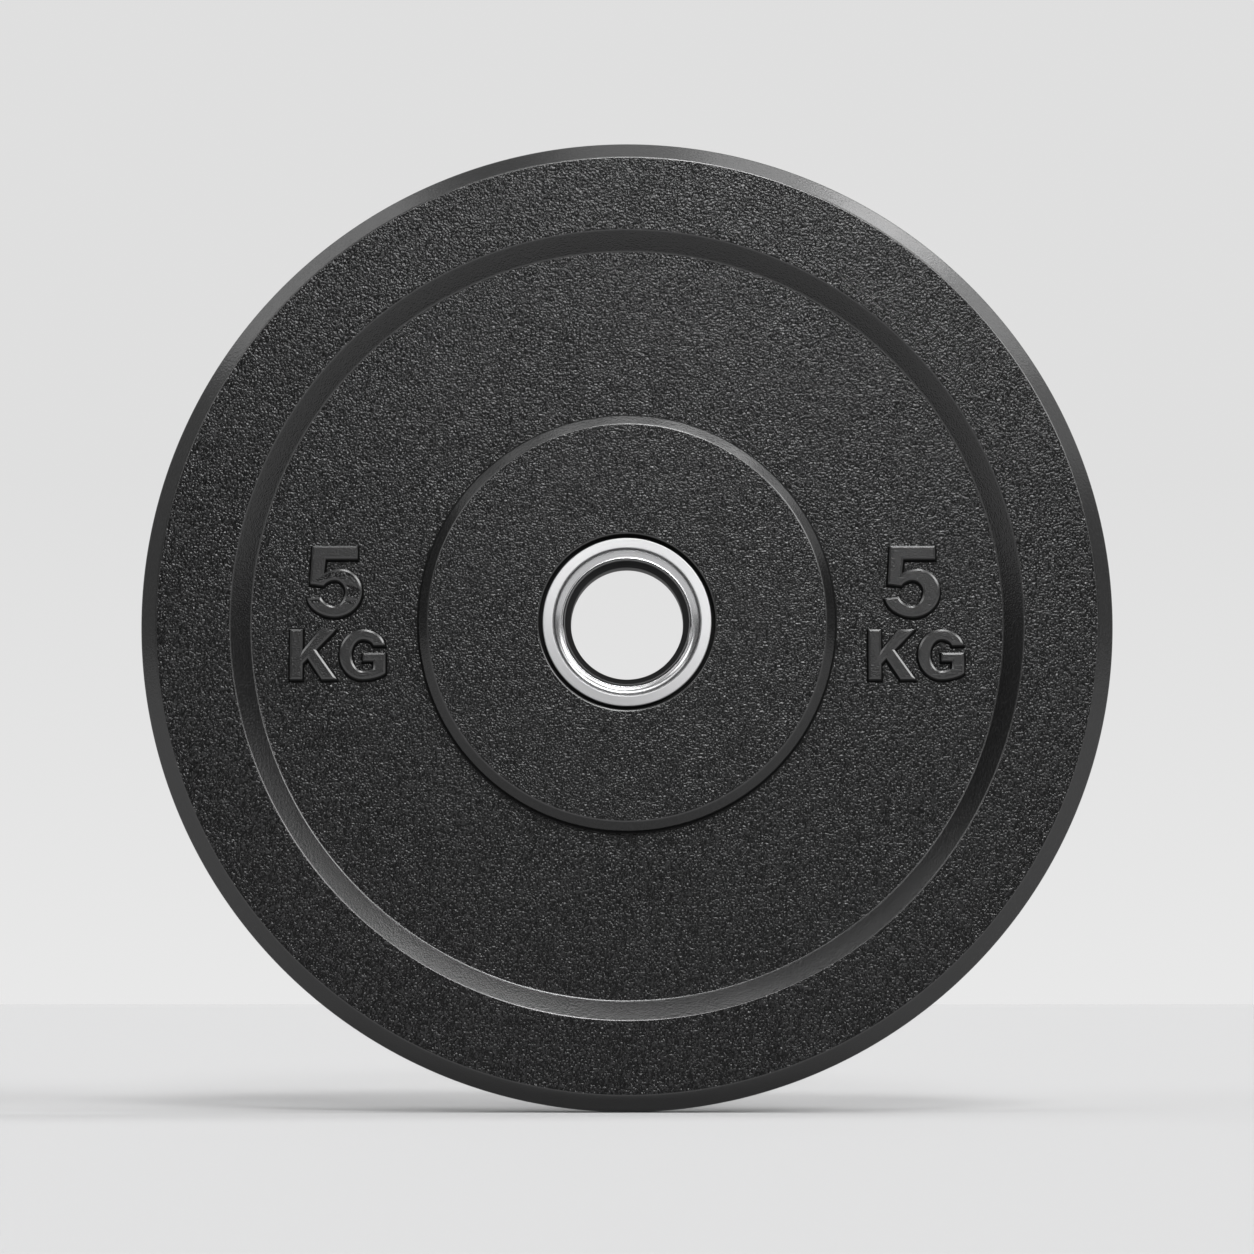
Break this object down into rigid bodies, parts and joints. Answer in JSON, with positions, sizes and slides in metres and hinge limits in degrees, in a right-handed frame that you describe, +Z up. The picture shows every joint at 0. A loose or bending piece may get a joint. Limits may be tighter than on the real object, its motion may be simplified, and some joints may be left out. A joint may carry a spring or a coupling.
{
  "type": "bumper plate",
  "caption": "Round rubber weight plate with a raised rim and hub, a shallow recessed web with raised weight marks, and a flanged steel-lined bore for a bar.",
  "frame": {"origin": "centre of the bore, halfway between the front and back faces", "axes": "+Y runs along the bore from the front face to the back face, +X points to the right seen from the front, +Z points up with the plate standing on its tread"},
  "size_m": [0.45, 0.034, 0.45],
  "materials": {
    "moulded_rubber": "black moulded rubber with a fine pebbled grain on the flat faces and a smoother satin skin on the shoulder, hub bevel and raised marks",
    "satin_steel": "stainless steel turned on a lathe, with fine circular brushing and a satin sheen",
    "turned_steel": "bored steel tube, darker and duller than the collars, with fine turning lines",
    "plain_steel": "plain pressed steel plate, bonded inside the rubber and not seen"
  },
  "bodies": {
    "root": {"rubber_body": "moulded_rubber", "anchor_disc": "plain_steel", "bore_sleeve": "turned_steel", "front_collar": "satin_steel", "back_collar": "satin_steel"}
  },
  "joints": []
}
